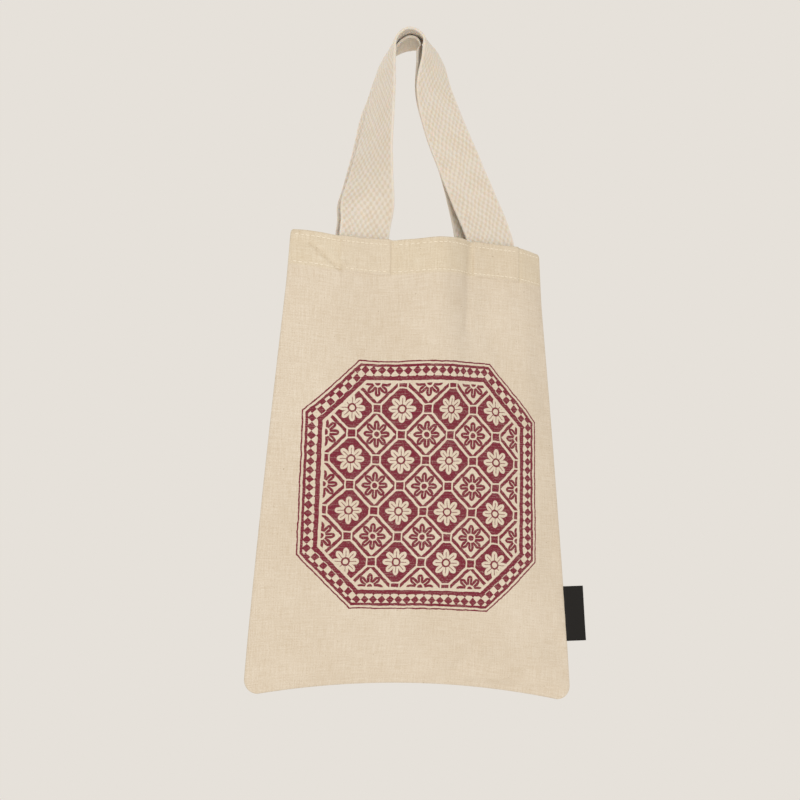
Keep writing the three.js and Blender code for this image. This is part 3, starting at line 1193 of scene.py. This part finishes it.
        # Painted shade: the narrow pressed creases darken the cloth's colour, standing in for the shadow in
        # each crease.
        pressed = [fold for fold in self.folds if fold.height < 0.0 and fold.width < self.crease_width]
        crease_shade = np.clip(-sum(fold.lift(x, drop) for fold in pressed), 0.0, 1.0)
        kept = {"layered_light": layered_light, "crease_shade": crease_shade}
        return sheet.to_object(self.name, points, uv, [self.outside, self.inside], kept)

    def stitches(self) -> Object:
        """Models the hem's two sewn rows, outside and inside.

        Returns:
            The stitches' object.
        """
        mesh = bmesh.new()
        through = self.cloth + 2.0 * self.fold_radius
        for sewn, _ in self.sewn_rows:
            reach = self.shape.half_width(sewn) - self.stitch_margin
            count = int(2.0 * reach / self.stitch_pitch)
            middle = (np.arange(count) + 0.5) / count * 2.0 * reach - reach
            for depth in (-self.stitch_proud, through + self.stitch_proud):
                self.sew(mesh, middle, sewn, depth)
        return to_piece(mesh, f"{self.name}_stitches", [self.thread])

    def sew(self, mesh: BMesh, middle: Array, sewn: float, depth: float) -> None:
        """Adds one row of stitches.

        Args:
            mesh: the mesh that gets them.
            middle: each stitch's middle from the panel's middle.
            sewn: how far the row is below the mouth.
            depth: how far the row is behind the cloth's outside.
        """
        drop = np.full_like(middle, sewn)
        reach = self.shape.half_width(drop)
        half = self.stitch_length / 2.0
        level = np.full_like(middle, depth)
        start = self.surface((middle - half) / reach, drop, level)
        end = self.surface((middle + half) / reach, drop, level)
        below = self.surface(middle / reach, drop + self.stitch_below, level)
        centre = (start + end) / 2.0
        along = unit(end - start)
        out = unit(np.cross(along, below - centre))
        side = unit(np.cross(out, along))
        for c, a, s, o in zip(centre, along, side, out):
            axes = (a * half, s * self.stitch_width / 2.0, o * self.stitch_height / 2.0)
            place = Matrix.Translation(Vector(c)) @ Matrix(axes).transposed().to_4x4()
            bmesh.ops.create_uvsphere(
                mesh, u_segments=6, v_segments=4, radius=1.0, matrix=Matrix.Scale(MM, 4) @ place @ POLE_ALONG
            )


@dataclass
class Strap:
    """One handle: flat webbing that turns on its way up from the hem, bends over the seat and comes down."""

    name: str
    inner: bool
    webbing: CottonWebbing
    finish: Material
    width: float = 30.0
    thick: float = 1.5
    edge_radius: float = 0.55
    # The plain edge's width and its shade, a fixed value on the weave's painted shade scale, and how far in
    # from it the weave rises.
    selvedge: float = 0.8
    selvedge_shade: float = 0.85
    selvedge_blend: float = 0.7
    # How high the weave is, and how much of that lies below the webbing's flat face.
    weave_height: float = 0.38
    weave_level: float = 0.6
    nest: float = 2.3
    columns: int = 62
    row_length: float = 0.52
    path_points: int = 2001
    # How far the ends move out to lie against the hem, and where that starts above and below the mouth.
    seat_shift: float = 0.55
    seat_z: tuple[float, float] = (-106.0, -117.0)

    def middle_line(self, share: Array) -> tuple[Array, Array]:
        """Gives the outer strap's middle line.

        Args:
            share: places along it, from 0 to 1.

        Returns:
            The points and the directions along.
        """
        rows = np.stack([STRAP_PATH.values[k] for k in ("x", "y", "z")], axis=1)
        ends = np.vstack([2.0 * rows[0] - rows[1], rows, 2.0 * rows[-1] - rows[-2]])
        at = share * (len(rows) - 1)
        i = np.clip(np.floor(at).astype(int), 0, len(rows) - 2)
        t = (at - i)[:, None]
        a, b, c, d = (ends[i + k] for k in range(4))
        gaps = (b - a, c - b, d - c)
        before, here, after = (np.sqrt(np.linalg.norm(gap, axis=1, keepdims=True)) for gap in gaps)
        leave = here * ((b - a) / before - (c - a) / (before + here) + (c - b) / here)
        arrive = here * ((c - b) / here - (d - b) / (here + after) + (d - c) / after)
        square = -3.0 * b + 3.0 * c - 2.0 * leave - arrive
        cube = 2.0 * b - 2.0 * c + leave + arrive
        points = b + leave * t + square * t**2 + cube * t**3
        along = leave + 2.0 * square * t + 3.0 * cube * t**2
        return points, unit(along)

    def frames(self, share: Array) -> tuple[Array, Array, Array]:
        """Gives the strap's middle line with its own directions.

        Args:
            share: places along it, from 0 to 1.

        Returns:
            The points, the directions to the inner edge, and those out of the face that is up on the seat.
        """
        middle, along = self.middle_line(share)
        at = share * STRAP_PATH.place[-1]
        turn = np.radians(STRAP_PATH.read("turn", at))
        level = np.zeros_like(turn)
        edge = unit(square_to(np.stack([-np.sin(turn), -np.cos(turn), level], axis=1), along))
        face = unit(np.cross(edge, along))
        if self.inner:
            shift = np.stack([STRAP_PATH.read("back_x", at), STRAP_PATH.read("back_y", at), level], axis=1)
            shift = square_to(shift, along)
            under = np.maximum(self.nest + (shift * face).sum(-1, keepdims=True), 0.0)
            middle = middle + shift - face * under
        top, bottom = self.seat_z
        seated = smooth((top - middle[:, 2]) / (top - bottom))
        outwards = np.sign(middle[:, 1])
        middle = middle + np.stack([level, outwards * seated * self.seat_shift, level], axis=1)
        return middle, edge, face

    def build(self) -> tuple[Object, float]:
        """Models the strap.

        Returns:
            The strap's object, and its length along its middle line.
        """
        share = np.linspace(0.0, 1.0, self.path_points)
        middle, _, _ = self.frames(share)
        run = np.concatenate([[0.0], np.cumsum(np.linalg.norm(np.diff(middle, axis=0), axis=1))])
        length = float(run[-1])
        half = self.width / 2.0
        face_half = half - self.selvedge
        lines = np.concatenate([[-half], np.linspace(-face_half, face_half, self.columns - 1), [half]])
        sheet = FlatSheet(lines, np.linspace(0.0, length, int(length / self.row_length) + 1), self.thick)
        sheet.round_long_edges(self.edge_radius, half)
        top = np.sign(sheet.w)
        inside = smooth((face_half - np.abs(sheet.u)) / self.selvedge_blend)
        weave = self.webbing.raise_of(sheet.u, sheet.v, top)
        centre, edge, face = self.frames(np.interp(sheet.v, run, share))
        lift = sheet.w + top * self.weave_height * (weave - self.weave_level) * inside
        points = centre + edge * sheet.u[:, None] + face * lift[:, None]
        uv = np.stack([sheet.u / UV_SPAN + 0.5, sheet.v / UV_SPAN], axis=1)
        # Painted shade and highlight: the weave's height, kept as the weave attribute, picks the webbing's
        # colour from shaded hollow to lit float.
        shade = weave * inside + self.selvedge_shade * (1.0 - inside)
        return sheet.to_object(self.name, points, uv, [self.finish], {"weave": shade}), length


@dataclass
class SideLabel:
    """A bare ribbon label, folded in half and caught in the right side seam."""

    name: str
    shape: BagShape
    finish: Material
    cut_length: float = 24.5
    reach: float = 12.0
    height: float = 31.0
    drop: float = 193.0
    leaf: float = 0.45
    fold_radius: float = 0.45
    caught: float = 0.5
    # How far the free end curls, and the curl's turn from head to foot and at the middle.
    curl: float = 0.5
    curl_turn: float = 2.2
    curl_middle: float = 0.5
    leaf_lines: int = 9
    rows: int = 25
    map_margin: float = 0.1

    def seam(self, drop: float) -> Array:
        """Gives the right side seam's point at a place down the bag."""
        level = np.array([[self.shape.half_width(drop), 0.0, self.shape.mouth_z - drop]])
        return self.shape.hung(level, np.array([drop]))[0]

    def build(self) -> Object:
        """Models the label.

        Returns:
            The label's object.
        """
        straight = self.reach + self.caught - self.fold_radius - self.leaf / 2.0
        turn = math.pi * self.fold_radius
        ends = (0.0, straight, straight + turn, 2.0 * straight + turn)
        spans = [np.linspace(start, end, self.leaf_lines)[1:] for start, end in zip(ends, ends[1:])]
        lines = np.concatenate([[0.0], *spans])
        sheet = FlatSheet(lines, np.linspace(0.0, self.height, self.rows), self.leaf)
        angle = np.clip((sheet.u - straight) / self.fold_radius, 0.0, math.pi)
        back = np.maximum(sheet.u - straight - turn, 0.0)
        reach = self.fold_radius + sheet.w
        out = np.minimum(sheet.u, straight) - back + reach * np.sin(angle) - self.caught
        curled = np.sin(self.curl_turn * (sheet.v / self.height - 0.5) + self.curl_middle)
        y = self.curl * smooth(out / self.reach) * curled - reach * np.cos(angle)
        head, foot = self.seam(self.drop), self.seam(self.drop + self.height)
        down = unit(foot - head)
        twist = self.shape.twist(self.drop + self.height / 2.0)
        sideways = unit(square_to(np.array([math.cos(twist), math.sin(twist), 0.0]), down))
        backwards = np.cross(sideways, down)
        backwards = backwards if backwards[1] > 0.0 else -backwards
        points = head + np.outer(sheet.v, down) + np.outer(out, sideways) + np.outer(y, backwards)
        uv = np.stack([sheet.u, sheet.v], axis=1) / UV_SPAN + self.map_margin
        return sheet.to_object(self.name, points, uv, [self.finish])


@dataclass
class Studio:
    """A pale floor far below the bag, soft light, and the camera."""

    floor_z: float = -1600.0
    floor_radius: float = 6000.0
    aim: tuple[float, float, float] = (0.0, 0.0, -187.0)
    azimuth_deg: float = -26.0
    elevation_deg: float = -7.0
    distance: float = 1209.0
    focal_px: float = 2146.0
    frame_px: float = 800.0
    middle_px: tuple[float, float] = (9.5, 36.5)
    sensor: float = 36.0
    air: str = "#e6e1da"
    floor: str = "#f6f3ee"
    # Each light: its name, its watts, its size and its place.
    lamps: tuple[tuple[str, float, float, tuple[float, float, float]], ...] = (
        ("soft_key", 17.0, 800.0, (-700.0, -2030.0, -200.0)),
        ("soft_back", 13.0, 1200.0, (-700.0, 1900.0, 500.0)),
    )

    def camera(self) -> None:
        """Sets the camera at the photograph's viewing angle."""
        data = bpy.data.cameras.new("camera")
        data.sensor_width = self.sensor
        data.lens = self.focal_px / self.frame_px * self.sensor
        data.shift_x, data.shift_y = (-px / self.frame_px for px in self.middle_px)
        a, e = math.radians(self.azimuth_deg), math.radians(self.elevation_deg)
        back = Vector((math.sin(a) * math.cos(e), -math.cos(a) * math.cos(e), math.sin(e)))
        camera = bpy.data.objects.new("camera", data)
        camera.location = (Vector(self.aim) + back * self.distance) * MM
        camera.rotation_euler = (-back).to_track_quat("-Z", "Y").to_euler()
        bpy.context.scene.collection.objects.link(camera)
        bpy.context.scene.camera = camera

    def lights(self) -> None:
        """Adds the soft light and the pale air all round."""
        scene = bpy.context.scene
        world = bpy.data.worlds.new("pale_air")
        world.use_nodes = True
        world.node_tree.nodes.clear()
        air = add_node(world.node_tree, "ShaderNodeBackground", {"Color": linear(self.air), "Strength": 1.0})
        add_node(world.node_tree, "ShaderNodeOutputWorld", {"Surface": air.outputs[0]})
        scene.world = world
        scene.view_settings.view_transform = "Standard"
        for name, watts, size, place in self.lamps:
            data = bpy.data.lights.new(name, "AREA")
            data.energy = watts
            data.shape = "DISK"
            data.size = size * MM
            lamp = bpy.data.objects.new(name, data)
            lamp.location = Vector(place) * MM
            lamp.rotation_euler = (Vector(self.aim) - Vector(place)).to_track_quat("-Z", "Y").to_euler()
            scene.collection.objects.link(lamp)

    def lay_floor(self) -> None:
        """Lays the floor."""
        mesh = bmesh.new()
        bmesh.ops.create_circle(
            mesh,
            cap_ends=True,
            segments=96,
            radius=self.floor_radius * MM,
            matrix=Matrix.Translation((0.0, 0.0, self.floor_z * MM)),
        )
        material, tree = new_material("pale_floor")
        end_material(tree, {"Base Color": linear(self.floor), "Roughness": 0.9})
        floor = to_piece(mesh, "floor", [material])


def declare(piece: Object, slot: str, *nodes: str) -> None:
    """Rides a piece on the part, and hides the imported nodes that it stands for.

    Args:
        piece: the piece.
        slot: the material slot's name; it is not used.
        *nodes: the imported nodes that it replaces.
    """
    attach(piece, "root")
    if nodes:
        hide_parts(*nodes)
    log.info("%s: %d faces", piece.name, len(piece.data.polygons))


def main() -> None:
    logging.basicConfig(level=logging.INFO, format="%(message)s")
    studio = Studio()
    studio.camera()
    studio.lights()
    studio.lay_floor()

    cloth = CottonCloth()
    webbing = CottonWebbing()
    plain = cloth.material("undyed_cotton")
    printed = cloth.material("block_printed_cotton", BlockPrint())
    strap_finish = webbing.material()
    thread = SewingThread().material()
    ribbon = BlackRibbon().material()
    shape = BagShape()

    for name, node, inner in (("front_strap", "front_handle", False), ("back_strap", "back_handle", True)):
        strap = Strap(name, inner, webbing, strap_finish)
        piece, length = strap.build()
        declare(piece, "webbing", node)
        log.info("%s is %.1f mm long", name, length)

    for name, side, folds, outside, seed, node, strap_name in (
        ("front_cloth", Side.FRONT, FRONT_FOLDS, printed, FRONT_SEED, "front_panel", "front_strap"),
        ("back_cloth", Side.BACK, BACK_FOLDS, plain, BACK_SEED, "back_panel", "back_strap"),
    ):
        panel = ClothPanel(name, side, shape, folds, outside, plain, thread, seed)
        piece = panel.build()
        declare(piece, "cotton", node)
        stitches = panel.stitches()
        declare(stitches, "cotton")

    label = SideLabel("ribbon_label", shape, ribbon)
    piece = label.build()
    declare(piece, "ribbon", "side_label")


if __name__ == "__main__":
    main()
